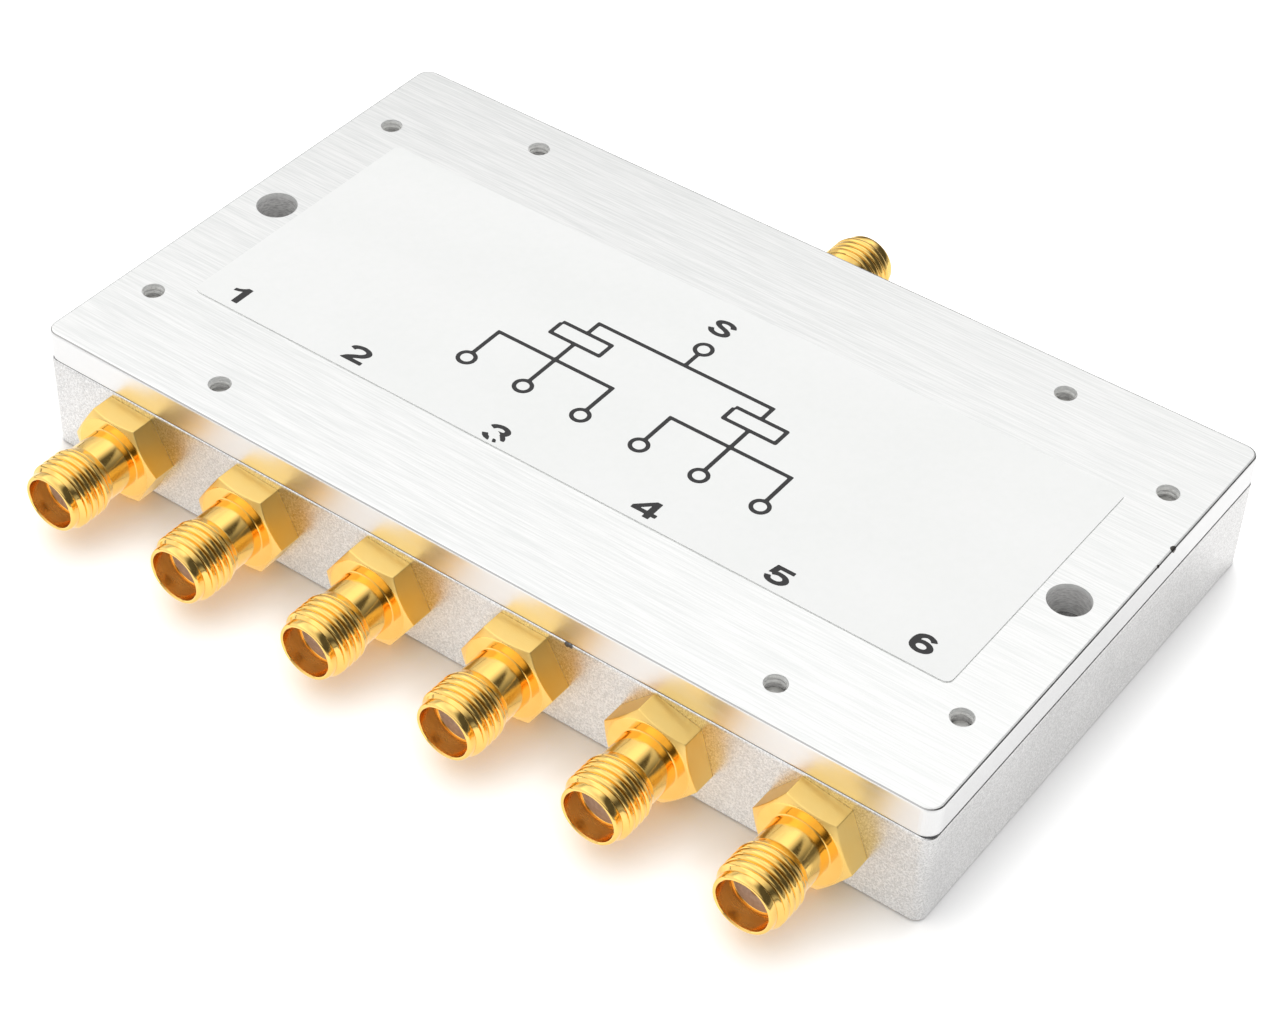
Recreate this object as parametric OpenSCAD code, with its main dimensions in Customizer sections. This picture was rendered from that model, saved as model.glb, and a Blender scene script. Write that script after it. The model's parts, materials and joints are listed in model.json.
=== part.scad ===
// RF power splitter: one sum port feeds six output ports through wound ferrite cores
// on a board in a flat milled case. The ports are threaded coaxial receptacles.
// X runs along the row of output ports, Y from the outputs to the sum port, Z up.
// The origin is at the centre of the base.

/* [Case] */
// Distance of the outer ports from the ends of the case
end_margin = 9.525; // [8.6:0.005:14]
// Depth of the case from the output side to the sum side
case_d = 50.8; // [50:0.1:70]
// Height of the milled housing
housing_h = 9.25; // [9:0.05:14]
// Thickness of the cover plate
cover_t = 3.05; // [2.2:0.05:5]
// Plan radius of the housing's upright corners
housing_corner_r = 1; // [0.6:0.1:2]
// Plan radius of the cover plate's corners
cover_corner_r = 1.3; // [0.6:0.1:2]
// Rounding of the tumbled edges of the housing and the cover
edge_r = 0.25; // [0.1:0.05:0.4]
// Wall that carries the ports, from the side of the case to the cavity
side_wall = 4.2; // [3.6:0.1:5]
// Wall at each end of the case, which holds the end row of holes
end_wall = 6.6; // [6.2:0.1:7.2]
// Radius that the cutter leaves in the corners of the cavity
cavity_corner_r = 1.5; // [0.8:0.1:1.8]

/* [Holes and screws] */
// Distance of the end row of holes from the end of the case
end_hole_inset = 3.65; // [3.3:0.05:3.9]
// Distance of the end screws from the long sides of the case
end_screw_inset = 9.5; // [7:0.1:12]
// Distance of the side screws from the long sides of the case
side_screw_inset = 3.8; // [3.4:0.1:4.4]
// Diameter of the two mounting holes
mount_hole_d = 3.7; // [2.8:0.1:4]
// Radius of the boss around each side screw
boss_r = 2.7; // [2.2:0.1:3.2]
// Diameter of the screws, at the middle of their thread
screw_d = 1.95; // [1.6:0.05:2.2]
// Diameter of the holes that the cover screws pass through in the housing
screw_hole_d = 2.5; // [2.4:0.05:3]
// Diameter of the cover screws' flat heads
flat_head_d = 4.2; // [3.4:0.1:4.6]
// Angle of the flat heads' cone
flat_head_angle = 82; // [70:1:100]
// Depth of the flat heads below the base
head_sink = 0.1; // [0:0.05:0.3]
// Depth of the screws' tips below the top of the cover
tip_depth = 1.1; // [0.5:0.1:2]
// Chamfer on the screws' tips
tip_chamfer = 0.25; // [0.1:0.05:0.4]
// Length of each arm of the screws' cross recess
recess_l = 2; // [1.4:0.1:2.2]
// Width of each arm of the screws' cross recess
recess_w = 0.45; // [0.3:0.05:0.7]
// Depth of the screws' cross recess
recess_depth = 0.8; // [0.4:0.05:0.9]

/* [Ports] */
// Distance between neighbouring output ports
port_pitch = 13.97; // [12.6:0.01:18]
// Height of the ports' axes above the base
port_z = 4.65; // [4.4:0.05:5]
// How far each output's hex is turned from a flat upwards, in degrees
hex_turns = [-2, -3.5, -4, -0.5, -13.5, -8];
// Diameter of the ports' threads
thread_d = 6.2; // [5.8:0.05:6.4]
// Width of the hex across its flats
hex_af = 7.94; // [7.4:0.02:8.3]
// Thickness of the hex
hex_t = 2.5; // [1.4:0.1:3]
// Diameter of the flat face on the front of the hex
hex_face_d = 7.5; // [6.6:0.1:7.9]
// Angle of the hex's chamfer from its front face
hex_chamfer_angle = 25; // [15:1:45]
// Diameter of the plain neck between the hex and the thread
neck_d = 5.4; // [5:0.05:5.8]
// Length of the plain neck
neck_l = 2.8; // [1.5:0.05:5]
// Length of the front thread
thread_l = 3.5; // [3:0.05:6]
// Length of the cone from the thread to the front lip
lip_cone_l = 0.4; // [0.2:0.05:0.8]
// Diameter of the front lip
lip_d = 5.36; // [5.1:0.02:5.7]
// Length of the front lip
lip_l = 0.8; // [0.4:0.05:1.2]
// Diameter of the socket in the front of the port
socket_d = 4.6; // [4.4:0.05:4.9]
// Depth of the socket down to the insulator
socket_depth = 1.95; // [1.5:0.05:2.6]
// Diameter of the insulator
insulator_d = 4.1; // [3.6:0.05:4.2]
// Diameter of the centre contact
contact_d = 1.27; // [1:0.01:1.5]
// Diameter of the hole in the centre contact
contact_hole_d = 0.93; // [0.6:0.01:0.95]
// Depth of the hole in the centre contact
contact_hole_depth = 3; // [2.4:0.1:4]
// Width of the slots between the centre contact's fingers
finger_slot_w = 0.18; // [0.1:0.02:0.3]
// Length of the slots between the centre contact's fingers
finger_slot_l = 2; // [1:0.1:2.3]
// How far the centre contact sits back from the insulator's face
contact_setback = 0.1; // [0:0.05:0.3]
// Length of the centre contact's tail on the board
tail_l = 1.8; // [1:0.1:2.6]

/* [Circuit] */
// Thickness of the board
board_t = 0.8; // [0.5:0.05:1.2]
// Thickness of the tracks
track_t = 0.07; // [0.03:0.01:0.2]
// Width of the feed tracks
feed_w = 1.6; // [1.2:0.1:2]
// Width of the tracks to the resistors
stub_w = 0.9; // [0.6:0.1:1.2]
// Clearance between the tracks that a resistor joins
track_gap = 0.8; // [0.6:0.1:1]
// Outer diameter of the ferrite cores
core_d = 4.6; // [4:0.1:5]
// Diameter of the hole in the ferrite cores
core_hole_d = 2.2; // [1.8:0.1:2.6]
// Height of the ferrite cores
core_h = 1.8; // [1.2:0.1:2.2]
// Chamfer on the edges of the ferrite cores
core_chamfer = 0.2; // [0.1:0.05:0.4]
// Diameter of the winding wire
wire_d = 0.25; // [0.15:0.01:0.35]
// Turns of wire on each core
turn_count = 6; // [3:1:7]
// Length of each wire end that lies on a track
lead_l = 1.4; // [0.6:0.1:2]
// Distance of the sum port's matching core behind the centre of the case
sum_match_y = 14.5; // [14.3:0.1:14.8]
// Distance of the two-way core behind the centre of the case
sum_hybrid_y = 6; // [5.6:0.1:6.2]
// Distance of the outputs' matching cores in front of the centre of the case
out_match_y = 0.5; // [0:0.1:0.7]
// Distance of the three-way cores in front of the centre of the case
out_hybrid_y = 9; // [8.8:0.1:9.6]
// Distance of the resistors from the cores that they balance
chip_drop = 4; // [3.9:0.1:4.3]
// Length, width and height of the chip resistors
chip = [1.7, 0.9, 0.5];
// Diameter of the board screws' round heads
round_head_d = 3.8; // [3.2:0.1:4.4]
// Height of the board screws' round heads
round_head_h = 1.4; // [1.2:0.1:1.8]
// Depth of the board screws in the floor of the housing
board_screw_depth = 2.2; // [1.5:0.1:2.4]
// Places of the board screws from the centre of the case
board_screws_at = [[0, -8], [14, 12], [-14, 12], [32, 6], [-32, 6]];

/* [Label] */
// Distance of the label from the ends of the case
label_end_gap = 6.2; // [5.8:0.05:12]
// Distance of the label from the long sides of the case
label_side_gap = 11.75; // [11.2:0.05:18]
// Thickness of the label
label_t = 0.1; // [0.05:0.01:0.3]
// Radius of the label's corners
label_corner_r = 0.7; // [0.3:0.1:2]

/* [Clearances] */
// Radial clearance of pieces that screw or press into a hole
fit_gap = 0.02; // [0.01:0.01:0.05]
// Clearance between the board and the walls of the cavity
board_gap = 0.3; // [0.2:0.05:0.6]
// Room left below the tips of the board screws
blind_room = 0.2; // [0.1:0.05:0.4]
// Clearance between the corners of a core and its turns
turn_gap = 0.05; // [0.02:0.01:0.1]
// Clearance between a wound core and the tracks around it
coil_gap = 0.2; // [0.1:0.05:0.3]

/* [Hidden] */
port_count = 6;
case_w = (port_count - 1) * port_pitch + 2 * end_margin;
case_h = housing_h + cover_t;
board_top = port_z - contact_d / 2 - track_t;
floor_z = board_top - board_t;
cavity_w = case_w - 2 * end_wall;
cavity_d = case_d - 2 * side_wall;

end_x = case_w / 2 - end_hole_inset;
end_screw_y = case_d / 2 - end_screw_inset;
side_screw_x = 2 * port_pitch;
side_screw_y = case_d / 2 - side_screw_inset;
cover_screws_at = [
    for (sx = [-1, 1], sy = [-1, 1]) each [
        [sx * end_x, sy * end_screw_y],
        [sx * side_screw_x, sy * side_screw_y]
    ]
];
bosses_at = [for (sx = [-1, 1], sy = [-1, 1]) [sx * side_screw_x, sy * side_screw_y]];
flat_head_h = (flat_head_d - screw_d) / 2 / tan(flat_head_angle / 2);

neck_z = hex_t;
thread_z = neck_z + neck_l;
lip_cone_z = thread_z + thread_l;
lip_z = lip_cone_z + lip_cone_l;
port_l = lip_z + lip_l;
insulator_front = port_l - socket_depth;
contact_front = insulator_front - contact_setback;

core_w = (core_d - core_hole_d) / 2;
core_mid_r = (core_d + core_hole_d) / 4;
turn_r = norm([core_w - 2 * core_chamfer, core_h]) / 2 + turn_gap + wire_d / 2;
coil_r = core_mid_r + turn_r + wire_d / 2;
track_start = coil_r + coil_gap;
track_edge_y = cavity_d / 2 - 2 * board_gap - feed_w / 2;
// Middle port of each half
half_x = port_pitch * 3 / 2;
// Each core's place and the directions in which its wires leave
cores = [
    [0, sum_match_y, [90, 270]],
    [0, sum_hybrid_y, [0, 90, 180]],
    for (side = [-1, 1]) each [
        [side * half_x, -out_match_y, [90, 270]],
        [side * half_x, -out_hybrid_y, [0, 90, 180, 270]]
    ]
];

// Small overshoot that keeps cuts clear of the faces they pass through
over = 0.5;
$fn = 48;

function port_x(i) = (i - (port_count - 1) / 2) * port_pitch;

// Places its children, which point along +Z, on output port i
module at_port(i) {
    translate([port_x(i), -case_d / 2, port_z])
        rotate([90, 0, 0])
            children();
}

// Places its children, which point along +Z, on the sum port
module at_sum_port() {
    translate([0, case_d / 2, port_z])
        rotate([90, 0, 180])
            children();
}

module at_points(points) {
    for (p = points)
        translate([p[0], p[1], 0])
            children();
}

// Block with round upright corners and rounded edges
module tumbled_block(w, d, h, corner_r) {
    hull()
        for (a = [0:30:90], sx = [-1, 1], sy = [-1, 1]) {
            lift = edge_r * (1 - sin(a));
            translate([sx * (w / 2 - corner_r), sy * (d / 2 - corner_r), lift])
                cylinder(r = corner_r - edge_r * (1 - cos(a)), h = h - 2 * lift, $fn = 32);
        }
}

// Outline of a rectangle with round corners, from its corner arcs
module round_rect(w, d, r, steps = 6) {
    polygon([
        for (q = [0:3], s = [0:steps])
            let (
                a = 90 * (q + s / steps),
                sx = (q == 0 || q == 3) ? 1 : -1,
                sy = q < 2 ? 1 : -1
            )
            [sx * (w / 2 - r) + r * cos(a), sy * (d / 2 - r) + r * sin(a)]
    ]);
}

// Outline of the cavity, or of the board in it, inset from the walls and bosses
module cavity_outline(inset) {
    difference() {
        round_rect(cavity_w - 2 * inset, cavity_d - 2 * inset, cavity_corner_r);
        at_points(bosses_at)
            circle(r = boss_r + inset);
    }
}

// Cross recess for a driver, cut upwards from z = 0
module cross_recess() {
    for (turn = [0, 90])
        rotate(turn)
            translate([-recess_l / 2, -recess_w / 2, -over])
                cube([recess_l, recess_w, recess_depth + over]);
}

module housing() {
    color([0.74, 0.73, 0.72])
    difference() {
        tumbled_block(case_w, case_d, housing_h, housing_corner_r);
        translate([0, 0, floor_z])
            linear_extrude(housing_h - floor_z + over)
                cavity_outline(0);
        for (i = [0:port_count - 1])
            at_port(i)
                port_hole();
        at_sum_port()
            port_hole();
        for (sx = [-1, 1])
            translate([sx * end_x, 0, -over])
                cylinder(d = mount_hole_d, h = housing_h + 2 * over);
        at_points(cover_screws_at)
            screw_passage();
        at_points(board_screws_at)
            translate([0, 0, floor_z - board_screw_depth - blind_room])
                cylinder(r = screw_d / 2 + fit_gap, h = board_screw_depth + blind_room + over);
    }
}

// Tapped hole for a port's shank, down to the plane of the cavity's wall
module port_hole() {
    translate([0, 0, -side_wall])
        cylinder(r = thread_d / 2 + fit_gap, h = side_wall + over);
}

// Hole for a cover screw with its countersink in the base
module screw_passage() {
    cylinder(d = screw_hole_d, h = housing_h + over);
    mouth_r = flat_head_d / 2 + fit_gap;
    translate([0, 0, -over])
        cylinder(r = mouth_r, h = head_sink + over);
    translate([0, 0, head_sink])
        cylinder(r1 = mouth_r, r2 = screw_d / 2 + fit_gap, h = flat_head_h);
}

module cover_plate() {
    color([0.80, 0.80, 0.79])
    translate([0, 0, housing_h])
        difference() {
            tumbled_block(case_w, case_d, cover_t, cover_corner_r);
            at_points(cover_screws_at)
                translate([0, 0, -over])
                    cylinder(r = screw_d / 2 + fit_gap, h = cover_t + 2 * over);
            for (sx = [-1, 1])
                translate([sx * end_x, 0, -over])
                    cylinder(d = mount_hole_d, h = cover_t + 2 * over);
        }
}

module label() {
    color([0.96, 0.97, 0.96])
    translate([0, 0, case_h])
        linear_extrude(label_t)
            round_rect(case_w - 2 * label_end_gap, case_d - 2 * label_side_gap, label_corner_r);
}

module cover_screws() {
    color([0.72, 0.72, 0.70])
    at_points(cover_screws_at)
        translate([0, 0, head_sink])
            flat_head_screw(case_h - head_sink - tip_depth);
}

// Flat-head screw of overall length l, head down, with a plain shank for its thread
module flat_head_screw(l) {
    difference() {
        rotate_extrude()
            polygon([
                [0, 0],
                [flat_head_d / 2, 0],
                [screw_d / 2, flat_head_h],
                [screw_d / 2, l - tip_chamfer],
                [screw_d / 2 - tip_chamfer, l],
                [0, l]
            ]);
        cross_recess();
    }
}

module circuit_board() {
    color([0.86, 0.82, 0.68])
    translate([0, 0, floor_z])
        difference() {
            linear_extrude(board_t)
                cavity_outline(board_gap);
            at_points(board_screws_at)
                translate([0, 0, -over])
                    cylinder(d = screw_hole_d, h = board_t + 2 * over);
        }
}

// Straight track between two points on one line along X or Y, with square ends
module track(p, q, w) {
    low = [min(p[0], q[0]), min(p[1], q[1])];
    span = [abs(q[0] - p[0]), abs(q[1] - p[1])];
    translate([low[0] - w / 2, low[1] - w / 2])
        square([span[0] + w, span[1] + w]);
}

// Track that runs through a list of points
module track_run(points, w) {
    for (i = [0:len(points) - 2])
        track(points[i], points[i + 1], w);
}

// Tracks from the sum port through its two cores to the two halves
module sum_tracks() {
    start = track_start + feed_w / 2;
    track_run([[0, track_edge_y], [0, sum_match_y + start]], feed_w);
    track_run([[0, sum_match_y - start], [0, sum_hybrid_y + start]], feed_w);
    for (side = [-1, 1]) {
        track_run([
            [side * start, sum_hybrid_y],
            [side * half_x, sum_hybrid_y],
            [side * half_x, start - out_match_y]
        ], feed_w);
        track_run([
            [side * start, sum_hybrid_y],
            [side * start, sum_hybrid_y - chip_drop],
            [side * (track_gap + stub_w) / 2, sum_hybrid_y - chip_drop]
        ], stub_w);
    }
}

// Tracks of one half, from its two cores to its three outputs
module half_tracks() {
    start = track_start + feed_w / 2;
    track_run([[0, -out_match_y - start], [0, start - out_hybrid_y]], feed_w);
    track_run([[0, -out_hybrid_y - start], [0, -track_edge_y]], feed_w);
    for (side = [-1, 1]) {
        track_run([
            [side * start, -out_hybrid_y],
            [side * port_pitch, -out_hybrid_y],
            [side * port_pitch, -track_edge_y]
        ], feed_w);
        track_run([
            [side * start, -out_hybrid_y],
            [side * start, -out_hybrid_y - chip_drop],
            [side * ((feed_w + stub_w) / 2 + track_gap), -out_hybrid_y - chip_drop]
        ], stub_w);
    }
}

module tracks() {
    color([0.85, 0.52, 0.30])
    translate([0, 0, board_top])
        linear_extrude(track_t) {
            sum_tracks();
            for (side = [-1, 1])
                translate([side * half_x, 0])
                    half_tracks();
        }
}

// Ferrite rings, each held off the board by its own turns
module ferrite_cores() {
    color([0.22, 0.21, 0.21])
    for (c = cores)
        translate([c[0], c[1], board_top + wire_d / 2 + turn_r])
            rotate_extrude()
                translate([core_mid_r, 0])
                    chamfered_rect(core_w, core_h, core_chamfer);
}

module chamfered_rect(w, h, c) {
    polygon([
        for (sx = [1, -1]) each [
            [sx * w / 2, -sx * (h / 2 - c)],
            [sx * w / 2, sx * (h / 2 - c)],
            [sx * (w / 2 - c), sx * h / 2],
            [-sx * (w / 2 - c), sx * h / 2]
        ]
    ]);
}

// Turns around each core, and the wire ends that lie on the tracks
module windings() {
    color([0.72, 0.36, 0.18])
    for (c = cores)
        translate([c[0], c[1], board_top + wire_d / 2]) {
            for (i = [0:turn_count - 1])
                rotate(360 * i / turn_count)
                    translate([core_mid_r, 0, turn_r])
                        rotate([90, 0, 0])
                            rotate_extrude()
                                translate([turn_r, 0])
                                    circle(d = wire_d);
            for (way = c[2])
                rotate(way)
                    translate([track_start, 0, track_t])
                        rotate([0, 90, 0])
                            cylinder(d = wire_d, h = lead_l);
        }
}

module isolation_resistors() {
    color([0.15, 0.15, 0.16])
    translate([0, 0, board_top + track_t + chip[2] / 2]) {
        translate([0, sum_hybrid_y - chip_drop, 0])
            cube(chip, center = true);
        for (half = [-1, 1], side = [-1, 1])
            translate([half * half_x + side * (feed_w + track_gap) / 2, -out_hybrid_y - chip_drop, 0])
                cube(chip, center = true);
    }
}

module board_screws() {
    color([0.72, 0.72, 0.70])
    at_points(board_screws_at)
        translate([0, 0, board_top])
            round_head_screw(board_t + board_screw_depth);
}

// Round-head screw that reaches down from z = 0 by l, with a plain shank for its thread
module round_head_screw(l) {
    crown_r = (pow(round_head_d / 2, 2) + pow(round_head_h, 2)) / (2 * round_head_h);
    difference() {
        union() {
            translate([0, 0, -l])
                cylinder(d = screw_d, h = l + round_head_h / 2);
            intersection() {
                cylinder(d = round_head_d, h = round_head_h);
                translate([0, 0, round_head_h - crown_r])
                    sphere(r = crown_r);
            }
        }
        translate([0, 0, round_head_h])
            mirror([0, 0, 1])
                cross_recess();
    }
}

// Turned and threaded metal body of a port, seated on z = 0 with its hex turned
module port_body(hex_turn) {
    color([0.90, 0.70, 0.28])
    difference() {
        union() {
            rotate_extrude()
                polygon([
                    [0, -side_wall],
                    [thread_d / 2, -side_wall],
                    [thread_d / 2, hex_t / 2],
                    [neck_d / 2, hex_t / 2],
                    [neck_d / 2, thread_z],
                    [thread_d / 2, thread_z],
                    [thread_d / 2, lip_cone_z],
                    [lip_d / 2, lip_z],
                    [lip_d / 2, port_l],
                    [0, port_l]
                ]);
            rotate(hex_turn)
                chamfered_hex();
        }
        translate([0, 0, insulator_front])
            cylinder(d = socket_d, h = socket_depth + over);
        translate([0, 0, -side_wall - over])
            cylinder(r = insulator_d / 2 + fit_gap, h = port_l + side_wall);
    }
}

// Hex with the corners of its front face turned off
module chamfered_hex() {
    cone_h = hex_t / tan(hex_chamfer_angle);
    intersection() {
        cylinder(d = hex_af / cos(30), h = hex_t, $fn = 6);
        cylinder(d1 = hex_face_d + 2 * cone_h, d2 = hex_face_d, h = hex_t);
    }
}

module port_insulator() {
    color([0.93, 0.88, 0.84])
    difference() {
        translate([0, 0, -side_wall])
            cylinder(d = insulator_d, h = insulator_front + side_wall);
        translate([0, 0, -side_wall - over])
            cylinder(r = contact_d / 2 + fit_gap, h = insulator_front + side_wall + 2 * over);
    }
}

// Centre contact with spring fingers at the front and a tail on the board
module port_contact() {
    color([0.90, 0.70, 0.28])
    difference() {
        translate([0, 0, -side_wall - tail_l])
            cylinder(d = contact_d, h = contact_front + side_wall + tail_l);
        translate([0, 0, contact_front - contact_hole_depth])
            cylinder(d = contact_hole_d, h = contact_hole_depth + over);
        for (turn = [0, 90])
            rotate(turn)
                translate([-contact_d, -finger_slot_w / 2, contact_front - finger_slot_l])
                    cube([2 * contact_d, finger_slot_w, finger_slot_l + over]);
    }
}

housing();
cover_plate();
label();
cover_screws();
circuit_board();
tracks();
ferrite_cores();
windings();
isolation_resistors();
board_screws();
for (i = [0:port_count - 1]) {
    at_port(i) port_body(hex_turns[i]);
    at_port(i) port_insulator();
    at_port(i) port_contact();
}
at_sum_port() port_body(0);  // sum_port_body
at_sum_port() port_insulator();  // sum_port_insulator
at_sum_port() port_contact();  // sum_port_contact
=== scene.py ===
"""Looks of a flat RF power splitter with seven threaded coaxial ports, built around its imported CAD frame."""
import json
import math

import bmesh
import bpy
import numpy as np
from mathutils import Matrix, Vector


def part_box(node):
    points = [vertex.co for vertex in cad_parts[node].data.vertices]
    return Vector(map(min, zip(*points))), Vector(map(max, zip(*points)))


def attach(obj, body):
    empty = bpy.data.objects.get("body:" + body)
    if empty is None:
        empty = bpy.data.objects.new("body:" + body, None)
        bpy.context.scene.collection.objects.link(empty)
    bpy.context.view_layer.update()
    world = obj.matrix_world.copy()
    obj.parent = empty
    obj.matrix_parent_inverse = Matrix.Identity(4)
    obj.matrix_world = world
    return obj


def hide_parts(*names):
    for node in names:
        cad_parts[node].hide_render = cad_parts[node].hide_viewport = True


MM = 0.001
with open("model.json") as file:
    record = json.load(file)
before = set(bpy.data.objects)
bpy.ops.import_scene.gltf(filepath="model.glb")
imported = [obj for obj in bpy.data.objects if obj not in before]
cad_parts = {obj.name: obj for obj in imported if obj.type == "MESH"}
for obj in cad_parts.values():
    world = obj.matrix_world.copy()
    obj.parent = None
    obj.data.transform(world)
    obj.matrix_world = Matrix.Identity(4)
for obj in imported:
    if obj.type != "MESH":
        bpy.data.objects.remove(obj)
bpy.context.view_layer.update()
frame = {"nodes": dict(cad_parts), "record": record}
nodes = frame["nodes"]
mounts = {m["name"]: m for m in frame["record"]["mounts"]}

PORTS = ["port_%d" % i for i in range(1, 7)] + ["sum_port"]
# How far each hex is turned from a flat upwards, in degrees
HEX_TURNS = {"port_1": -2, "port_2": -3.5, "port_3": -4, "port_4": -0.5, "port_5": -13.5, "port_6": -8}

# Sizes of a port in millimetres along its axis from the face of the case, as in the part's source
HEX_T, THREAD_Z, THREAD_END, PORT_L = 2.5, 5.3, 9.2, 10.0
SHANK_L, SOCKET_Z = 4.2, 8.05
# Sizes of a port across its axis, with the angle of the hex's chamfer in degrees
HEX_APOTHEM, HEX_FACE_R, HEX_CHAMFER, HEX_EDGE_R = 3.97, 3.75, 25, 0.1
THREAD_R, ROOT_R, NECK_R, LIP_R = 3.1, 2.84, 2.7, 2.68
SOCKET_R, BORE_R = 2.3, 2.07
# Pitch of the thread, and the part of a turn by which its start is set back
THREAD_PITCH, THREAD_PHASE = 25.4 / 36, 0.276
# Slopes of the cones that cut the thread back at the neck and at the lip
NECK_SLOPE, LIP_SLOPE = 0.36, 0.95

COVER_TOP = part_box("cover_plate")[1].z / MM
LABEL_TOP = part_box("label")[1].z / MM


# Node materials

def new_material(name):
    material = bpy.data.materials.new(name)
    material.use_nodes = True
    tree = material.node_tree
    shader = next(n for n in tree.nodes if n.type == "BSDF_PRINCIPLED")
    return material, tree, shader


def feed(tree, node, inputs):
    """Sets a node's inputs to constants, or links them to other nodes' outputs."""
    for key, value in inputs.items():
        if isinstance(value, bpy.types.NodeSocket):
            tree.links.new(value, node.inputs[key])
        else:
            node.inputs[key].default_value = value


def add(tree, kind, inputs=None, **settings):
    """A node with its settings and inputs."""
    node = tree.nodes.new(kind)
    for key, value in settings.items():
        setattr(node, key, value)
    feed(tree, node, inputs or {})
    return node


def calc(tree, operation, first, second=0.0):
    return add(tree, "ShaderNodeMath", {0: first, 1: second}, operation=operation).outputs[0]


def measure(tree, operation, first, second=(0, 0, 0)):
    """The number that a vector operation gives."""
    return add(tree, "ShaderNodeVectorMath", {0: first, 1: second}, operation=operation).outputs["Value"]


def spread(tree, value, low, high, to_low=0.0, to_high=1.0):
    return add(tree, "ShaderNodeMapRange", {"Value": value, "From Min": low, "From Max": high,
                                            "To Min": to_low, "To Max": to_high}).outputs[0]


def blend(tree, first, second, share):
    """A share of the first number and the rest of the second."""
    rest = calc(tree, "MULTIPLY", second, 1 - share)
    return calc(tree, "ADD", calc(tree, "MULTIPLY", first, share), rest)


def mix(tree, factor, first, second):
    """A colour between first and second, each a constant or another node's output."""
    first, second = (c if isinstance(c, bpy.types.NodeSocket) else (*c, 1) for c in (first, second))
    return add(tree, "ShaderNodeMix", {"Factor": factor, 6: first, 7: second}, data_type="RGBA").outputs[2]


def axes(tree, vector):
    return add(tree, "ShaderNodeSeparateXYZ", {0: vector}).outputs


def object_place(tree):
    """Coordinates in metres in the piece's own frame."""
    return add(tree, "ShaderNodeTexCoord").outputs["Object"]


def world_place(tree):
    return add(tree, "ShaderNodeNewGeometry").outputs["Position"]


def normal_z(tree):
    return axes(tree, add(tree, "ShaderNodeNewGeometry").outputs["Normal"])["Z"]


def noise(tree, scale, detail=2.0, roughness=0.5):
    """Noise over the piece, with the given number of cells to the metre along each axis."""
    vector = add(tree, "ShaderNodeMapping", {"Vector": object_place(tree), "Scale": scale}).outputs[0]
    return add(tree, "ShaderNodeTexNoise",
               {"Vector": vector, "Scale": 1.0, "Detail": detail, "Roughness": roughness}).outputs["Fac"]


def bump(tree, height, depth):
    return add(tree, "ShaderNodeBump", {"Height": height, "Distance": depth, "Strength": 1.0}).outputs[0]


# How far the normal points up in the middle of the cover's rounded edge, and the two distances from
# that between which the painted shade on the edge fades
EDGE_TILT, EDGE_FULL, EDGE_NONE = 0.62, 0.22, 0.34
# In millimetres: the rim of the cover without holes, and the depths between which a hole's wall goes from a
# painted highlight at its rim to painted shade below
COVER_RIM, RIM_HIGHLIGHT_DEPTH, WALL_SHADE_DEPTH = 1.5, 0.3, 0.6
# Heights in millimetres of the painted shade lines along the housing's joint and foot
JOINT_SHADE_HEIGHT, FOOT_SHADE_HEIGHT = 0.05, 0.16
# Wear: the place of each mark on the part and its radius, in millimetres
COVER_NICKS = [((44.4, 10.3, 12.28), 0.34), ((44.42, 7.75, 12.28), 0.18)]
HOUSING_SPECKS = [((11.25, -25.4, 9.05), 0.26), ((11.6, -25.4, 9.05), 0.2), ((9.6, -25.4, 6.1), 0.09)]


def on_edge(tree):
    """One on the narrow rounded edge between the top and the sides, where shade is painted, and nothing on
    either.
    """
    off = calc(tree, "ABSOLUTE", calc(tree, "SUBTRACT", normal_z(tree), EDGE_TILT))
    return spread(tree, off, EDGE_FULL, EDGE_NONE, 1, 0)


def in_holes(tree):
    """Two masks: the walls of the cover's holes, which face sideways inside its outline, and the height
    near the rim where those walls are painted as light as the top, a painted highlight above painted shade."""
    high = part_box("cover_plate")[1]
    at = axes(tree, object_place(tree))
    walls = calc(tree, "LESS_THAN", normal_z(tree), 0.5)
    for axis, half in (("X", high.x), ("Y", high.y)):
        inside = calc(tree, "LESS_THAN", calc(tree, "ABSOLUTE", at[axis]), half - COVER_RIM * MM)
        walls = calc(tree, "MULTIPLY", walls, inside)
    # Painted highlight near the rim of each hole, fading to painted shade deeper in the wall
    light = spread(tree, at["Z"], high.z - WALL_SHADE_DEPTH * MM, high.z - RIM_HIGHLIGHT_DEPTH * MM)
    return walls, light


def worn(tree, marks):
    """One inside any of the marks, and nothing elsewhere."""
    found = 0.0
    for place_at, reach in marks:
        away = measure(tree, "DISTANCE", object_place(tree), tuple(c * MM for c in place_at))
        found = calc(tree, "MAXIMUM", calc(tree, "LESS_THAN", away, reach * MM), found)
    return found


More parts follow.
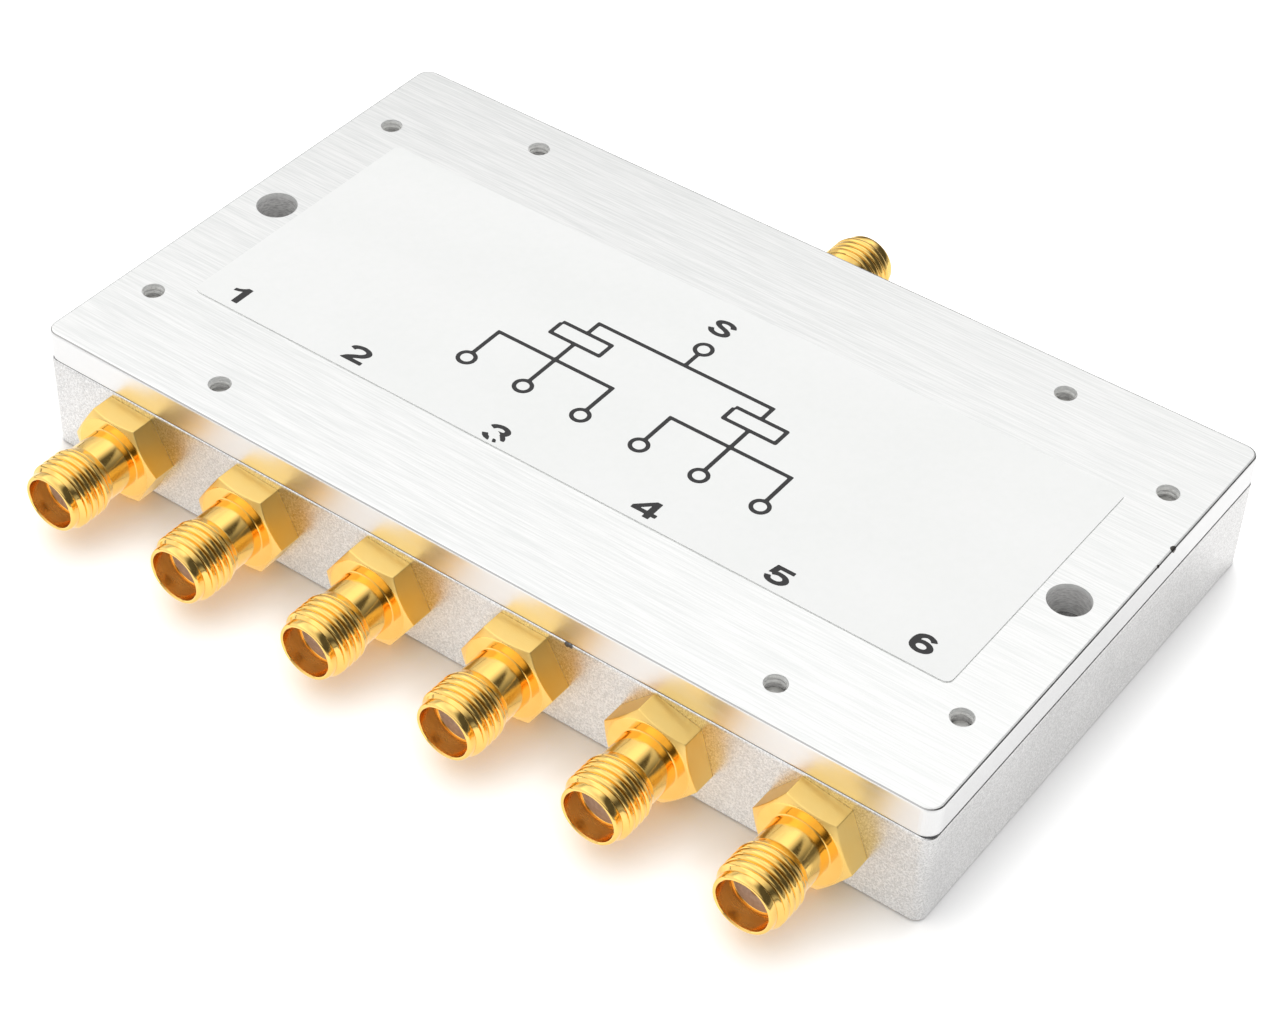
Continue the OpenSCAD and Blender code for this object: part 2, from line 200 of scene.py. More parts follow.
def cover_material():
    """Aluminium plate: brushed along its length on top, smoother on its sides, with painted shade darkening
    the edge between them, scored walls in its holes with painted highlight and shade, and dark nicks."""
    material, tree, shader = new_material("brushed_aluminium")
    fine = noise(tree, (210, 6200, 6200), 3)
    broad = noise(tree, (45, 1500, 1500), 2)
    cloud = noise(tree, (30, 45, 45), 2)
    lines = blend(tree, fine, broad, 0.8)
    up = spread(tree, normal_z(tree), 0.6, 0.95)
    top = mix(tree, spread(tree, lines, 0.36, 0.64), (0.82, 0.83, 0.82), (0.97, 0.97, 0.96))
    side = mix(tree, spread(tree, cloud, 0.35, 0.65), (0.81, 0.81, 0.81), (0.88, 0.88, 0.88))
    # Painted shade: the rounded edge between the top and the sides is coloured dark
    painted_edge_shade = mix(tree, cloud, (0.36, 0.355, 0.35), (0.5, 0.495, 0.49))
    plate = mix(tree, on_edge(tree), mix(tree, up, side, top), painted_edge_shade)
    drilled, light = in_holes(tree)
    scores = spread(tree, noise(tree, (2500, 2500, 9000), 3), 0.35, 0.65)
    scored = mix(tree, scores, (0.62, 0.615, 0.61), (0.95, 0.945, 0.935))
    # Hole walls: scored grain, painted light near the rim as a highlight and darker below as shade
    whole = mix(tree, drilled, plate, mix(tree, light, scored, top))
    chipped = mix(tree, cloud, (0.05, 0.045, 0.04), (0.16, 0.15, 0.14))
    rough = calc(tree, "ADD", spread(tree, lines, 0.3, 0.7, 0.3, 0.38), calc(tree, "MULTIPLY", up, 0.02))
    feed(tree, shader, {
        "Base Color": mix(tree, worn(tree, COVER_NICKS), whole, chipped),
        "Roughness": calc(tree, "ADD", rough, calc(tree, "MULTIPLY", drilled, 0.35)),
        "Metallic": spread(tree, drilled, 0, 1, 1, 0.2),
        "Normal": bump(tree, calc(tree, "MULTIPLY", lines, spread(tree, up, 0, 1, 0.05, 1)), 6e-6)})
    return material


def housing_material():
    """Bead-blasted aluminium with a fine bright and dark grain, painted shade as dark lines along its joint
    with the cover and along its foot, and a few dark specks of dirt."""
    material, tree, shader = new_material("blasted_aluminium")
    grain = noise(tree, (7500,) * 3, 2, 0.65)
    cloud = noise(tree, (90,) * 3, 3)
    level = spread(tree, blend(tree, grain, cloud, 0.8), 0.36, 0.66)
    blasted = mix(tree, level, (0.56, 0.555, 0.55), (0.93, 0.925, 0.92))
    z = axes(tree, object_place(tree))["Z"]
    # Painted shade: a dark line along the joint with the cover, standing in for the shadow in the gap
    joint = calc(tree, "GREATER_THAN", z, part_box("housing")[1].z - JOINT_SHADE_HEIGHT * MM)
    # The painted shade along the foot leaves out the underside
    foot = calc(tree, "MULTIPLY", calc(tree, "LESS_THAN", z, FOOT_SHADE_HEIGHT * MM),
                calc(tree, "GREATER_THAN", normal_z(tree), -0.8))
    # Dark where shade is painted along the joint and the foot, and at the specks of dirt
    dark = calc(tree, "MAXIMUM", calc(tree, "MAXIMUM", joint, foot), worn(tree, HOUSING_SPECKS))
    dirt_and_painted_shade = mix(tree, grain, (0.05, 0.05, 0.055), (0.22, 0.22, 0.23))
    feed(tree, shader, {
        "Base Color": mix(tree, dark, blasted, dirt_and_painted_shade),
        "Roughness": spread(tree, grain, 0.3, 0.7, 0.27, 0.39),
        "Metallic": spread(tree, dark, 0, 1, 1, 0.3),
        "Normal": bump(tree, grain, 1.1e-5)})
    return material


def label_material():
    """White plastic film with faint clouds and fine specks."""
    material, tree, shader = new_material("white_film")
    cloud = noise(tree, (60, 90, 90), 3)
    speck = noise(tree, (1500,) * 3, 2)
    level = spread(tree, blend(tree, cloud, speck, 0.7), 0.35, 0.65)
    feed(tree, shader, {
        "Base Color": mix(tree, level, (0.925, 0.935, 0.92), (0.965, 0.97, 0.96)),
        "Roughness": spread(tree, cloud, 0.3, 0.7, 0.38, 0.48),
        "Normal": bump(tree, speck, 1.2e-6)})
    return material


def ink_material():
    material, tree, shader = new_material("black_ink")
    speck = noise(tree, (5000,) * 3, 2)
    level = spread(tree, speck, 0.3, 0.7)
    feed(tree, shader, {
        "Base Color": mix(tree, level, (0.012, 0.012, 0.013), (0.028, 0.027, 0.028)),
        "Roughness": spread(tree, speck, 0.3, 0.7, 0.4, 0.55),
        "Normal": bump(tree, speck, 2e-6)})
    return material


def gold_material():
    """Gold plate over turned metal: fine turning lines, and a duller milled finish on the hex."""
    material, tree, shader = new_material("gold_plate")
    lines = noise(tree, (500, 500, 16000), 2)
    speck = noise(tree, (9000,) * 3, 2)
    mottle = spread(tree, noise(tree, (350,) * 3, 2), 0.3, 0.7)
    at = axes(tree, object_place(tree))
    across = add(tree, "ShaderNodeCombineXYZ", {0: at["X"], 1: at["Y"]}).outputs[0]
    hexed = calc(tree, "GREATER_THAN", measure(tree, "LENGTH", across), (HEX_FACE_R + 0.1) * MM)
    bright = mix(tree, mottle, (0.99, 0.625, 0.165), (1.0, 0.675, 0.21))
    milled = mix(tree, mottle, (1.0, 0.665, 0.195), (1.0, 0.71, 0.245))
    rough = calc(tree, "ADD", spread(tree, lines, 0.3, 0.7, 0.06, 0.14), calc(tree, "MULTIPLY", hexed, 0.24))
    grain = calc(tree, "MULTIPLY", blend(tree, lines, speck, 0.5), spread(tree, hexed, 0, 1, 0.6, 3.5))
    feed(tree, shader, {
        "Base Color": mix(tree, hexed, bright, milled),
        "Roughness": calc(tree, "ADD", rough, calc(tree, "MULTIPLY", mottle, 0.05)),
        "Metallic": 1.0,
        "Normal": bump(tree, grain, 3e-6)})
    return material


def plain_material(name, dark, light, scale, rough, metallic=0.0, depth=4e-6):
    """A material with grain: colour, roughness and bump follow one noise of the given scale."""
    material, tree, shader = new_material(name)
    grain = noise(tree, scale, 3)
    feed(tree, shader, {
        "Base Color": mix(tree, spread(tree, grain, 0.35, 0.65), dark, light),
        "Roughness": spread(tree, grain, 0.3, 0.7, rough - 0.06, rough + 0.06),
        "Metallic": metallic,
        "Normal": bump(tree, grain, depth)})
    return material


COVER = cover_material()
HOUSING = housing_material()
LABEL = label_material()
INK = ink_material()
GOLD = gold_material()
STEEL = plain_material("bare_steel", (0.58, 0.575, 0.56), (0.78, 0.775, 0.76), (900, 900, 5200), 0.34, 1.0)
TAPPED = plain_material("tapped_aluminium", (0.82, 0.82, 0.8), (0.97, 0.97, 0.95), (2500,) * 3, 0.3, 0.1)
# Painted shade: the same gold plating made deeper orange inside the sockets, for the shade and the gold's own
# reflections there
SHADED_SOCKET_GOLD = plain_material("socket_gold_painted_shade", (0.97, 0.55, 0.13), (1.0, 0.62, 0.18), (700, 700, 2600), 0.24, 1.0)
INSULATOR = plain_material("fluoropolymer", (0.55, 0.38, 0.30), (0.70, 0.52, 0.42), (2600,) * 3, 0.45)
BOARD = plain_material("glass_laminate", (0.60, 0.58, 0.40), (0.74, 0.71, 0.52), (1400, 1400, 6000), 0.42)
FOIL = plain_material("copper_foil", (0.78, 0.42, 0.22), (0.92, 0.57, 0.34), (1900,) * 3, 0.33, 1.0)
WIRE = plain_material("enamelled_wire", (0.55, 0.20, 0.07), (0.74, 0.31, 0.12), (2500,) * 3, 0.25, 0.9)
FERRITE = plain_material("ferrite", (0.035, 0.035, 0.037), (0.085, 0.083, 0.083), (3800,) * 3, 0.55,
                         depth=1e-5)
CHIP = plain_material("chip_body", (0.018, 0.018, 0.02), (0.05, 0.05, 0.052), (4200,) * 3, 0.4)

node_materials = {
    "housing": HOUSING, "cover_plate": COVER, "label": LABEL, "cover_screws": STEEL, "board_screws": STEEL,
    "circuit_board": BOARD, "tracks": FOIL, "ferrite_cores": FERRITE, "windings": WIRE,
    "isolation_resistors": CHIP,
}
for port in PORTS:
    node_materials[port + "_body"] = GOLD
    node_materials[port + "_contact"] = GOLD
    node_materials[port + "_insulator"] = INSULATOR
for name, material in node_materials.items():
    slots = nodes[name].data.materials
    slots.clear()
    slots.append(material)


# Pieces

def keep_piece(bm, mesh, material):
    """Writes bm to the mesh, gives the mesh its material and puts it in the scene."""
    bm.to_mesh(mesh)
    bm.free()
    mesh.materials.append(material)
    obj = bpy.data.objects.new(mesh.name, mesh)
    bpy.context.scene.collection.objects.link(obj)
    return obj


def make_piece(name, verts, faces, material, smooth_angle):
    """A piece from vertices in millimetres, smooth where its faces meet at less than smooth_angle."""
    mesh = bpy.data.meshes.new(name)
    mesh.from_pydata([tuple(c * MM for c in v) for v in verts], [], faces)
    bm = bmesh.new()
    bm.from_mesh(mesh)
    bmesh.ops.remove_doubles(bm, verts=bm.verts, dist=2e-7)
    bmesh.ops.dissolve_degenerate(bm, edges=bm.edges, dist=1e-7)
    bmesh.ops.recalc_face_normals(bm, faces=bm.faces)
    for face in bm.faces:
        face.smooth = True
    for edge in bm.edges:
        if len(edge.link_faces) == 2 and edge.calc_face_angle() > math.radians(smooth_angle):
            edge.smooth = False
    return keep_piece(bm, mesh, material)


def hex_angles():
    """Angles round a port, closer together at the corners of the hex."""
    side = [0.33, 0.66, 1.8, 4.2, 7.2, 10.8, 15, 20, 25]
    steps = [-a for a in reversed(side)] + [0] + side + [30]
    return np.radians(sorted(60 * k + s for k in range(6) for s in steps))


def hex_radius(angle, apothem):
    """Radius of a hex with slightly rounded corners, in the direction of angle."""
    off = abs((angle + math.pi / 6) % (math.pi / 3) - math.pi / 6)
    centre = (apothem - HEX_EDGE_R) / math.cos(math.pi / 6)
    end = math.atan2(HEX_EDGE_R / 2, centre + HEX_EDGE_R * math.cos(math.pi / 6))
    if off <= end:
        return centre * math.cos(off) + math.sqrt(HEX_EDGE_R ** 2 - (centre * math.sin(off)) ** 2)
    return apothem / math.cos(math.pi / 6 - off)


# One pitch of the thread: part of the pitch and height from root to crest
THREAD_FORM = [(0.0, 0.0), (0.05, 0.24), (0.12, 0.56), (0.21, 0.82), (0.31, 0.95), (0.41, 0.99), (0.5, 1.0),
               (0.59, 0.99), (0.69, 0.95), (0.79, 0.82), (0.88, 0.56), (0.95, 0.24)]


def thread_radius(z, angle):
    """Radius of the external thread, cut back by a cone at each end."""
    part = ((z - THREAD_Z) / THREAD_PITCH - angle / math.tau + THREAD_PHASE) % 1.0
    form = THREAD_FORM + [(1.0, 0.0)]
    height = np.interp(part, [f[0] for f in form], [f[1] for f in form])
    rear = NECK_R + (z - THREAD_Z) * NECK_SLOPE
    front = LIP_R + (THREAD_END - z) * LIP_SLOPE
    return min(ROOT_R + (THREAD_R - ROOT_R) * height, rear, front)


def rings_before_thread(angles):
    """Profile of a port from the back of the shank to the thread: rings of (radius, z) for each angle."""
    hexes = [hex_radius(a, HEX_APOTHEM) for a in angles]
    slope = math.tan(math.radians(HEX_CHAMFER))

    def straight(inset, z):
        """A ring on the hex's sides or back edge."""
        return [(r - inset, z) for r in hexes]

    def chamfered(inset, below):
        """A ring on the hex, set in from its sides and below its chamfer."""
        return [(r - inset, HEX_T - (r - HEX_FACE_R) * slope - below) for r in hexes]

    shank = [(THREAD_R - 0.2, -SHANK_L), (THREAD_R, -SHANK_L + 0.2), (THREAD_R, 0.0)]
    back = [straight(0.03, 0.0), straight(0.01, 0.01), straight(0, 0.03), straight(0, 0.1)]
    front = [chamfered(0, 0.12), chamfered(0, 0.06), chamfered(0.015, 0.015), chamfered(0.05, -0.02),
             chamfered(0.1, -0.045)]
    neck = [(HEX_FACE_R + 0.08, HEX_T - 0.035), (HEX_FACE_R + 0.02, HEX_T - 0.01),
            (HEX_FACE_R - 0.04, HEX_T), (HEX_FACE_R - 0.12, HEX_T), (NECK_R + 0.2, HEX_T),
            (NECK_R + 0.13, HEX_T), (NECK_R + 0.05, HEX_T + 0.02), (NECK_R + 0.015, HEX_T + 0.05),
            (NECK_R, HEX_T + 0.12), (NECK_R, HEX_T + 0.2), (NECK_R, THREAD_Z - 0.1), (NECK_R, THREAD_Z)]
    count = len(angles)
    return [[p] * count for p in shank] + back + front + [[p] * count for p in neck]


def rings_after_thread(angles):
    """Profile of a port from the thread over the lip and back through the socket and the bore."""
    profile = [(LIP_R + 0.02, THREAD_END + 0.05), (LIP_R + 0.03, THREAD_END + 0.2),
               (LIP_R + 0.02, PORT_L - 0.3), (LIP_R - 0.02, PORT_L - 0.14),
               (LIP_R - 0.08, PORT_L - 0.04), (LIP_R - 0.15, PORT_L),
               (SOCKET_R + 0.12, PORT_L), (SOCKET_R + 0.04, PORT_L - 0.05), (SOCKET_R, PORT_L - 0.14),
               (SOCKET_R, PORT_L - 0.24), (SOCKET_R, SOCKET_Z + 0.16), (SOCKET_R, SOCKET_Z + 0.08),
               (SOCKET_R - 0.03, SOCKET_Z + 0.02), (SOCKET_R - 0.08, SOCKET_Z), (BORE_R + 0.04, SOCKET_Z),
               (BORE_R, SOCKET_Z - 0.04), (BORE_R, 2.0), (BORE_R, -SHANK_L)]
    return [[p] * len(angles) for p in profile]


def thread_rows(angles):
    """Rows of the thread along its helix, each running once round the port."""
    round_port = angles - angles[0]
    per_pitch = len(THREAD_FORM)
    turns = math.ceil((THREAD_END - THREAD_Z) / THREAD_PITCH) + 1
    rows = []
    for k in range(turns * per_pitch + 1):
        part = k // per_pitch + THREAD_FORM[k % per_pitch][0] - 1
        heights = THREAD_Z + THREAD_PITCH * (part + round_port / math.tau - THREAD_PHASE)
        heights = np.clip(heights, THREAD_Z, THREAD_END)
        rows.append([(thread_radius(z, a), z) for z, a in zip(heights, round_port)])
    return rows


def port_mesh():
    """Vertices and faces of a port body with a right-hand helical thread."""
    angles = hex_angles()
    count = len(angles)
    before, rows = rings_before_thread(angles), thread_rows(angles)
    rings = before + rows + rings_after_thread(angles)
    first_row, last_row = len(before), len(before) + len(rows) - 1
    verts = [(r * math.cos(a), r * math.sin(a), z) for ring in rings for a, (r, z) in zip(angles, ring)]
    faces = []
    for k in range(len(rings)):
        upper = (k + 1) % len(rings)
        for j in range(count):
            a, b = k, upper
            # A row of the thread meets the row one pitch on where its turn closes
            if j == count - 1 and first_row <= k < last_row:
                a, b = (min(row + len(THREAD_FORM), last_row) for row in (k, upper))
            after = (j + 1) % count
            faces.append((k * count + j, a * count + after, b * count + after, upper * count + j))
    return verts, faces


def port_frame(port):
    """Transform from a port's own frame, with its axis along Z and the hex turned, to the part's."""
    mount = mounts[port + "_thread"]
    out = Vector(mount["axis"])
    up = Vector((0, 0, 1))
    place_at = Vector(mount["pos_m"])
    face = abs(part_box("housing")[0].y)
    place_at.y = math.copysign(face, out.y)
    basis = Matrix((up.cross(out), up, out)).transposed().to_4x4()
    turn = Matrix.Rotation(math.radians(HEX_TURNS.get(port, 0)), 4, "Z")
    return Matrix.Translation(place_at) @ basis @ turn


def build_ports():
    verts, faces = port_mesh()
    inner_r, inner_end = (SOCKET_R + 0.03) * MM, (PORT_L - 0.08) * MM
    for port in PORTS:
        obj = make_piece(port + "_turned", verts, faces, GOLD, smooth_angle=32)
        # Faces inside the socket take the gold with painted shade
        obj.data.materials.append(SHADED_SOCKET_GOLD)
        for face in obj.data.polygons:
            middle = sum((obj.data.vertices[k].co for k in face.vertices), Vector()) / len(face.vertices)
            face.material_index = int(math.hypot(middle.x, middle.y) < inner_r and middle.z < inner_end)
        obj.matrix_world = port_frame(port)
        bpy.context.view_layer.update()
        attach(obj, "root")
        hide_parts(port + "_body")


# Thread of the cover's tapped holes in millimetres: its pitch, the radius of its roots and crests, and
# the depths below the cover's top between which it runs
TAP_PITCH, TAP_ROOT_R, TAP_CREST_R = 25.4 / 56, 1.02, 0.89
TAP_DEEP, TAP_SHALLOW = 1.25, 0.04
# Half the width of its ridge at the root and at the crest, in parts of the pitch
TAP_ROOT_HALF, TAP_CREST_HALF = 0.4, 0.09
# Points in a turn, and the angle in radians by which each hole's thread starts after the last one's
TAP_STEPS, TAP_START = 40, 2.1


def tapped_holes():
    """Centres of the eight tapped holes, from the screws' tips that stand in them."""
    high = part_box("cover_screws")[1].z - 1e-5
    tips = [v.co for v in nodes["cover_screws"].data.vertices if v.co.z > high]
    centres = []
    for sx in (-1, 1):
        for sy in (-1, 1):
            group = [t for t in tips if t.x * sx > 0 and t.y * sy > 0]
            middle = sum(abs(t.x) for t in group) / len(group)
            for outer in (True, False):
                part = [t for t in group if (abs(t.x) > middle) == outer]
                xs, ys = [t.x for t in part], [t.y for t in part]
                centres.append(((min(xs) + max(xs)) / 2 / MM, (min(ys) + max(ys)) / 2 / MM))
    return centres


def build_hole_threads():
    """Helical ridges in the cover's eight tapped holes, from the screws' tips to the top."""
    low, high = COVER_TOP - TAP_DEEP, COVER_TOP - TAP_SHALLOW
    form = [(-TAP_ROOT_HALF, TAP_ROOT_R), (-TAP_CREST_HALF, TAP_CREST_R),
            (TAP_CREST_HALF, TAP_CREST_R), (TAP_ROOT_HALF, TAP_ROOT_R)]
    width = len(form)
    turns = (high - low) / TAP_PITCH - 2 * TAP_ROOT_HALF
    total = int(turns * TAP_STEPS)
    verts, faces = [], []
    for number, (cx, cy) in enumerate(tapped_holes()):
        start = len(verts)
        for i in range(total + 1):
            turn = i / TAP_STEPS
            # The ridge rises and falls within a quarter of a turn at its ends
            fade = max(min(1, 4 * turn, 4 * (turns - turn) + 0.05), 0.02)
            angle = number * TAP_START + math.tau * turn
            for dz, r in form:
                radius = TAP_ROOT_R + (r - TAP_ROOT_R) * fade
                verts.append((cx + radius * math.cos(angle), cy + radius * math.sin(angle),
                              low + TAP_PITCH * (turn + TAP_ROOT_HALF + dz)))
        for i in range(total):
            for j in range(width):
                a, b = start + i * width + j, start + i * width + (j + 1) % width
                faces.append((a, b, b + width, a + width))
        faces.append(tuple(start + j for j in range(width)))
        faces.append(tuple(start + total * width + j for j in range(width)))
    obj = make_piece("cover_hole_threads", verts, faces, TAPPED, smooth_angle=50)
    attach(obj, "root")


# Print on the label, in millimetres: half the pen's width across and along the label, and how far the
# ink stands above the label and reaches into it
PEN = (0.285, 0.205)
PRINT_T, PRINT_SUNK = 0.012, 0.004
# Half the field round a mark and round the diagram, and the size of a field's cells
MARK_FIELD, MARK_CELL = (1.5, 1.4), 0.03
DIAGRAM_FIELD, DIAGRAM_CELL = (18, 10), 0.06
# Samples across a cell
CELL_SAMPLES = 3


def spline(points, steps=10):
    """A smooth path through the points."""
    p = np.array(points, float)
    p = np.vstack([2 * p[0] - p[1], p, 2 * p[-1] - p[-2]])
    out = []
    for a, b, c, d in zip(p[:-3], p[1:-2], p[2:-1], p[3:]):
        for t in np.linspace(0, 1, steps, endpoint=False):
            out.append(0.5 * (2 * b + (c - a) * t + (2 * a - 5 * b + 4 * c - d) * t ** 2
                              + (3 * b - a - 3 * c + d) * t ** 3))
    out.append(p[-2])
    return np.array(out)


def oval(cx, cy, rx, ry, start=180, steps=48):
    a = np.radians(np.linspace(start, start + 360, steps + 1))
    return np.stack([cx + rx * np.cos(a), cy + ry * np.sin(a)], 1)


def in_stroke(x, y, path, pen):
    """Where a stroke of an oval pen, with flat ends unless it is closed, covers the points."""
    path = np.array(path, float)
    low, high = path.min(0) - pen, path.max(0) + pen
    reached = (x >= low[0]) & (x <= high[0]) & (y >= low[1]) & (y <= high[1])
    q = path / pen
    u, v = x[reached] / pen[0], y[reached] / pen[1]
    near = np.full(u.shape, 1e9)
    for a, b in zip(q[:-1], q[1:]):
        d = b - a
        t = np.clip(((u - a[0]) * d[0] + (v - a[1]) * d[1]) / (d @ d), 0, 1)
        near = np.minimum(near, np.hypot(u - a[0] - t * d[0], v - a[1] - t * d[1]))
    inked = near <= 1
    if not np.allclose(q[0], q[-1]):
        for tip, before in ((q[0], q[1]), (q[-1], q[-2])):
            d = tip - before
            ahead = (u - tip[0]) * d[0] + (v - tip[1]) * d[1] > 0
            inked &= ~(ahead & (np.hypot(u - tip[0], v - tip[1]) < 1.2))
    reached[reached] = inked
    return reached


def in_polygon(x, y, points):
    inside = np.zeros(x.shape, bool)
    points = np.array(points, float)
    for (x0, y0), (x1, y1) in zip(points, np.roll(points, -1, 0)):
        if y1 != y0:
            inside ^= ((y0 > y) != (y1 > y)) & (x < (x1 - x0) * (y - y0) / (y1 - y0) + x0)
    return inside


# Shapes in millimetres from each glyph's centre
GLYPHS = {
    "1": [("poly", [(0.03, -1.1), (0.68, -1.1), (0.68, 1.1), (0.2, 1.1), (-0.08, 0.82), (-0.42, 0.62),
                    (-0.8, 0.52), (-0.8, 0.15), (-0.3, 0.28), (0.03, 0.45)])],
    "2": [("stroke", spline([(-0.88, 0.38), (-0.68, 0.68), (-0.05, 0.86), (0.6, 0.72), (0.78, 0.38),
                             (0.5, -0.05), (-0.05, -0.38), (-0.55, -0.75), (-0.72, -1.02)])),
          ("poly", [(-1.1, -1.1), (1.08, -1.1), (1.08, -0.69), (-0.3, -0.69), (-0.8, -0.75),
                    (-1.07, -0.98)])],
    "3": [("stroke", spline([(-0.86, 0.4), (-0.62, 0.68), (-0.04, 0.86), (0.5, 0.72), (0.66, 0.44),
                             (0.45, 0.14), (-0.15, 0.05)])),
          ("stroke", spline([(-0.15, 0.05), (0.5, -0.08), (0.76, -0.45), (0.5, -0.8), (-0.02, -0.93),
                             (-0.6, -0.82), (-0.9, -0.5)])),
          ("worn", [(-0.35, 0.3), (0.08, 0.16), (0.3, -0.03), (0.12, -0.22), (-0.35, -0.25)]),
          ("worn", [(0.12, -0.1), (0.32, -0.12), (0.74, -0.6), (1.1, -0.55), (1.1, -1.2), (0.68, -1.2),
                    (0.42, -0.74), (0.16, -0.6)]),
          ("worn", [(-0.42, -0.5), (0.0, -0.5), (0.14, -0.86), (0.3, -1.2), (-0.12, -1.2), (-0.2, -0.9)])],
    "4": [("poly", [(-1.18, -0.66), (-1.18, -0.28), (0.3, 1.1), (0.8, 1.1), (0.8, -0.25), (1.22, -0.25),
                    (1.22, -0.66), (0.8, -0.66), (0.8, -1.04), (0.19, -1.04), (0.19, -0.66)]),
          ("worn", [(-0.5, -0.24), (0.19, -0.24), (0.19, 0.43)])],
    "5": [("poly", [(-0.74, 0.98), (0.95, 0.98), (0.95, 0.58), (-0.28, 0.58), (-0.4, -0.02), (-0.97, -0.12)]),
          ("stroke", spline([(-0.66, -0.05), (-0.1, 0.12), (0.55, -0.02), (0.78, -0.4), (0.5, -0.78),
                             (-0.05, -0.91), (-0.6, -0.78), (-0.82, -0.42)]))],
    "6": [("stroke", oval(0.0, -0.38, 0.74, 0.5)),
          ("stroke", spline([(0.66, 0.5), (0.42, 0.74), (-0.08, 0.86), (-0.58, 0.6), (-0.76, 0.1),
                             (-0.76, -0.4)]))],
    "S": [("stroke", spline([(0.82, 0.42), (0.58, 0.74), (0.0, 0.88), (-0.58, 0.72), (-0.7, 0.4),
                             (-0.35, 0.13), (0.35, -0.1), (0.72, -0.4), (0.58, -0.76), (0.0, -0.93),
                             (-0.62, -0.8), (-0.93, -0.42)]))],
}
# Where each mark stands on the label, in millimetres from the centre of the case
MARKS = [("1", -34.67, -11.75), ("2", -21.46, -11.58), ("3", -6.0, -12.25), ("4", 8.94, -11.96),
         ("5", 21.6, -11.83), ("6", 34.46, -11.2), ("S", 0.54, 10.5)]
# Half the width of the diagram's lines, and the radius of its terminals
LINE, TERMINAL_R = 0.19, 0.75


def diagram():
    """Line diagram of one input divided in two and then in three: lines, boxes and terminals."""
    x0, top, first, box_top, box_low, second, low = 0.9, 6.4, 4.4, 2.7, 0.9, -1.8, -6.2
    reach, box_half, pitch = 9.0, 2.6, 6.0
    paths = [oval(x0, top + TERMINAL_R, TERMINAL_R, TERMINAL_R),
             [(x0, top), (x0, first)],
             [(x0 - reach - LINE, first), (x0 + reach + LINE, first)]]
    for x in (x0 - reach, x0 + reach):
        left, right = x - box_half, x + box_half
        paths += [[(x, first), (x, box_top)],
                  [(left, box_top), (right, box_top), (right, box_low), (left, box_low),
                   (left, box_top + LINE)],
                  [(x, box_low), (x, second)],
                  [(x - pitch - LINE, second), (x + pitch + LINE, second)]]
        for end in (x - pitch, x, x + pitch):
            paths += [[(end, second), (end, low + TERMINAL_R)], oval(end, low, TERMINAL_R, TERMINAL_R)]
    return [("stroke", path, (LINE, LINE)) for path in paths]


def covered(shapes, x, y):
    """Where the shapes cover the points, taken in order, with the worn ones left bare."""
    mask = np.zeros(x.shape, bool)
    for shape in shapes:
        if shape[0] == "stroke":
            mask |= in_stroke(x, y, shape[1], shape[2] if len(shape) > 2 else PEN)
        elif shape[0] == "poly":
            mask |= in_polygon(x, y, shape[1])
        else:
            mask &= ~in_polygon(x, y, shape[1])
    return mask


def soften(field, width):
    """Blurs a field a little along both axes, which rounds the corners of the print."""
    reach = 3 * width
    taps = np.exp(-0.5 * (np.arange(-reach, reach + 1) / width) ** 2)
    taps /= taps.sum()
    for axis in (0, 1):
        field = np.apply_along_axis(lambda row: np.convolve(row, taps, "same"), axis, field)
    return field


def printed(name, shapes, centre, half, step):
    """A thin film of ink whose outline is the shapes' outline, as a closed mesh on the label."""
    xs, ys = (np.arange(-h, h + step, step) for h in half)
    fine_x, fine_y = (np.arange(len(line) * CELL_SAMPLES) * step / CELL_SAMPLES - h
                      for line, h in zip((xs, ys), half))
    mask = covered(shapes, *np.meshgrid(fine_x, fine_y)).astype(float)
    field = soften(mask, CELL_SAMPLES)[::CELL_SAMPLES, ::CELL_SAMPLES]
    verts, faces, index = [], [], {}

    def corner(i, j):
        return vertex(("c", i, j), xs[i], ys[j])

    def crossing(i, j, k, l):
        key = ("e",) + min(((i, j), (k, l)), ((k, l), (i, j)))
        a, b = field[j, i], field[l, k]
        t = min(max((0.5 - a) / (b - a), 0.02), 0.98)
        return vertex(key, xs[i] + (xs[k] - xs[i]) * t, ys[j] + (ys[l] - ys[j]) * t)

    def vertex(key, x, y):
        if key not in index:
            index[key] = len(verts)
            verts.append((x + centre[0], y + centre[1]))
        return index[key]

    inky = field >= 0.5
    touched = inky[:-1, :-1] | inky[1:, :-1] | inky[:-1, 1:] | inky[1:, 1:]
    for j, i in np.argwhere(touched):
        ring = [(i, j), (i + 1, j), (i + 1, j + 1), (i, j + 1)]
        inside = [inky[q, p] for p, q in ring]
        face = []
        for k in range(4):
            here, after = ring[k], ring[(k + 1) % 4]
            if inside[k]:
                face.append(corner(*here))
            if inside[k] != inside[(k + 1) % 4]:
                face.append(crossing(*here, *after))
        faces.append(face)
    bm = bmesh.new()
    base = LABEL_TOP - PRINT_SUNK
    points = [bm.verts.new((x * MM, y * MM, base * MM)) for x, y in verts]
    for face in faces:
        bm.faces.new([points[k] for k in face])
    bmesh.ops.dissolve_limit(bm, angle_limit=0.02, verts=bm.verts, edges=bm.edges)
    made = bmesh.ops.extrude_face_region(bm, geom=bm.faces[:])
    for item in made["geom"]:
        if isinstance(item, bmesh.types.BMVert):
            item.co.z += (PRINT_T + PRINT_SUNK) * MM
    bmesh.ops.recalc_face_normals(bm, faces=bm.faces)
    obj = keep_piece(bm, bpy.data.meshes.new(name), INK)
    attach(obj, "root")


